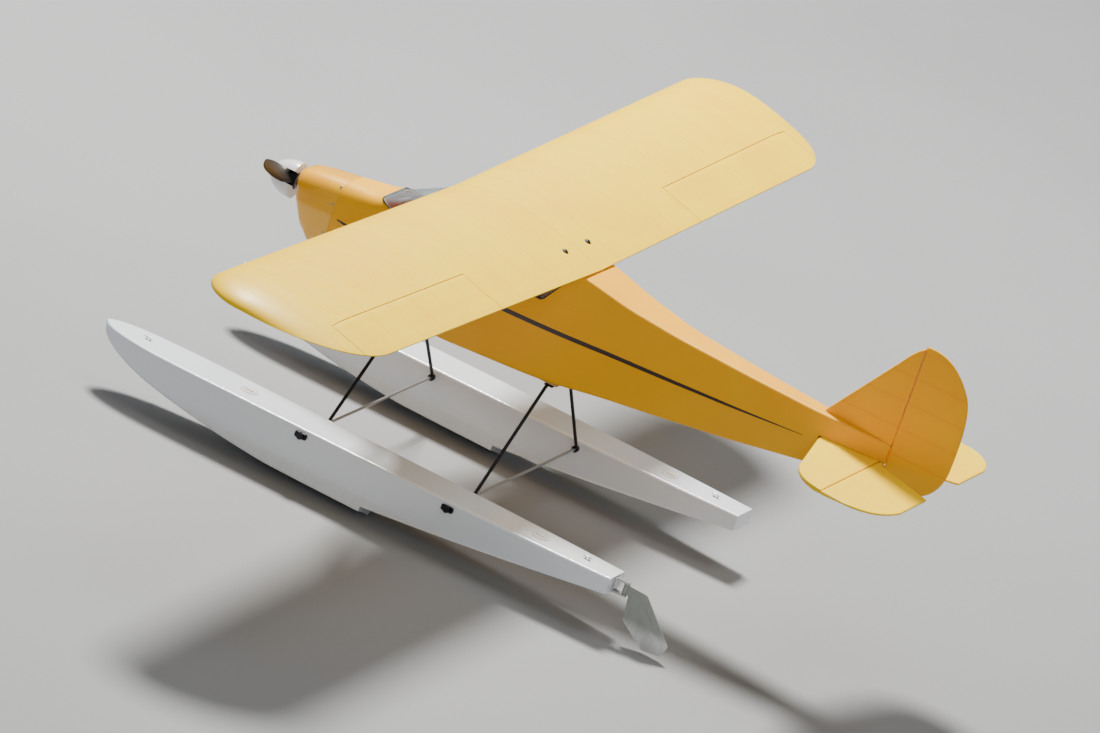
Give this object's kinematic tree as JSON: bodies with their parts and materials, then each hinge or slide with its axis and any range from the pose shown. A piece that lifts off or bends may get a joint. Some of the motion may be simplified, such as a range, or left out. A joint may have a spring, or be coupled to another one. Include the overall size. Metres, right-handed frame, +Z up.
{
  "type": "radio-controlled model floatplane",
  "caption": "High-wing radio-controlled model floatplane with tractor propeller, strut-braced wing, twin stepped floats and hinged control surfaces.",
  "frame": {"origin": "on the floor under the middle of the whole length and span, where the keels rest", "axes": "+X aft along the fuselage, +Y to starboard along the wing, +Z up"},
  "size_m": [1.395, 2, 0.61],
  "materials": {
    "yellow_film": "satin",
    "yellow_shell": "gloss",
    "yellow_paint": "gloss",
    "white_shell": "gloss",
    "clear_plastic": "polished",
    "black_plastic": "satin",
    "battery_wrap": "satin",
    "engine_alloy": "satin",
    "bright_steel": "satin",
    "dark_wire": "satin",
    "plywood": "matte"
  },
  "bodies": {
    "airframe": {"fuselage": "yellow_film", "windshield": "clear_plastic", "window_front_left": "clear_plastic", "window_front_right": "clear_plastic", "window_rear_left": "clear_plastic", "window_rear_right": "clear_plastic", "cowl": "yellow_shell", "engine_block": "engine_alloy", "exhaust_pipe": "bright_steel", "wing_left": "yellow_film", "wing_right": "yellow_film", "lift_strut_front_left": "yellow_paint", "lift_strut_front_right": "yellow_paint", "lift_strut_rear_left": "yellow_paint", "lift_strut_rear_right": "yellow_paint", "stabilizer": "yellow_film", "fin": "yellow_film", "float_left": "white_shell", "float_right": "white_shell", "strut_plate_front": "plywood", "strut_plate_rear": "plywood", "spreader_rod_front": "bright_steel", "spreader_rod_rear": "bright_steel", "float_strut_front_left": "dark_wire", "float_strut_front_right": "dark_wire", "float_strut_rear_left": "dark_wire", "float_strut_rear_right": "dark_wire", "water_rudder_bracket": "bright_steel", "radio_tray": "plywood", "servo_elevator": "black_plastic", "servo_rudder": "black_plastic", "servo_throttle": "black_plastic", "receiver": "black_plastic", "battery_pack": "battery_wrap"},
    "propeller": {"propeller": "black_plastic", "spinner": "white_shell"},
    "aileron_left": {"aileron_left": "yellow_film"},
    "aileron_right": {"aileron_right": "yellow_film"},
    "elevator": {"elevator": "yellow_film"},
    "rudder": {"rudder": "yellow_film"},
    "water_rudder": {"water_rudder": "black_plastic"}
  },
  "joints": [
    {"name": "propeller_spin", "type": "hinge", "parent": "airframe", "child": "propeller", "pos_m": [-0.566, 0, 0.38], "axis": [1, 0, 0], "continuous": true},
    {"name": "aileron_left_hinge", "type": "hinge", "parent": "airframe", "child": "aileron_left", "pos_m": [-0.0769, -0.65, 0.50629], "axis": [-0.0014, 0.9997, -0.0261], "range_deg": [-20, 20]},
    {"name": "aileron_right_hinge", "type": "hinge", "parent": "airframe", "child": "aileron_right", "pos_m": [-0.0769, 0.65, 0.50629], "axis": [0.0014, 0.9997, 0.0261], "range_deg": [-20, 20]},
    {"name": "elevator_hinge", "type": "hinge", "parent": "airframe", "child": "elevator", "pos_m": [0.5825, 0, 0.39], "axis": [0, 1, 0], "range_deg": [-25, 25]},
    {"name": "rudder_hinge", "type": "hinge", "parent": "airframe", "child": "rudder", "pos_m": [0.5915, 0, 0.48], "axis": [0, 0, 1], "range_deg": [-28, 28]},
    {"name": "water_rudder_hinge", "type": "hinge", "parent": "airframe", "child": "water_rudder", "pos_m": [0.3225, -0.26, 0.089], "axis": [0, 0, 1], "range_deg": [-28, 28]}
  ],
  "couplings": [
    {"joint": "aileron_right_hinge", "follows": "aileron_left_hinge", "ratio": -1},
    {"joint": "water_rudder_hinge", "follows": "rudder_hinge", "ratio": 1}
  ]
}
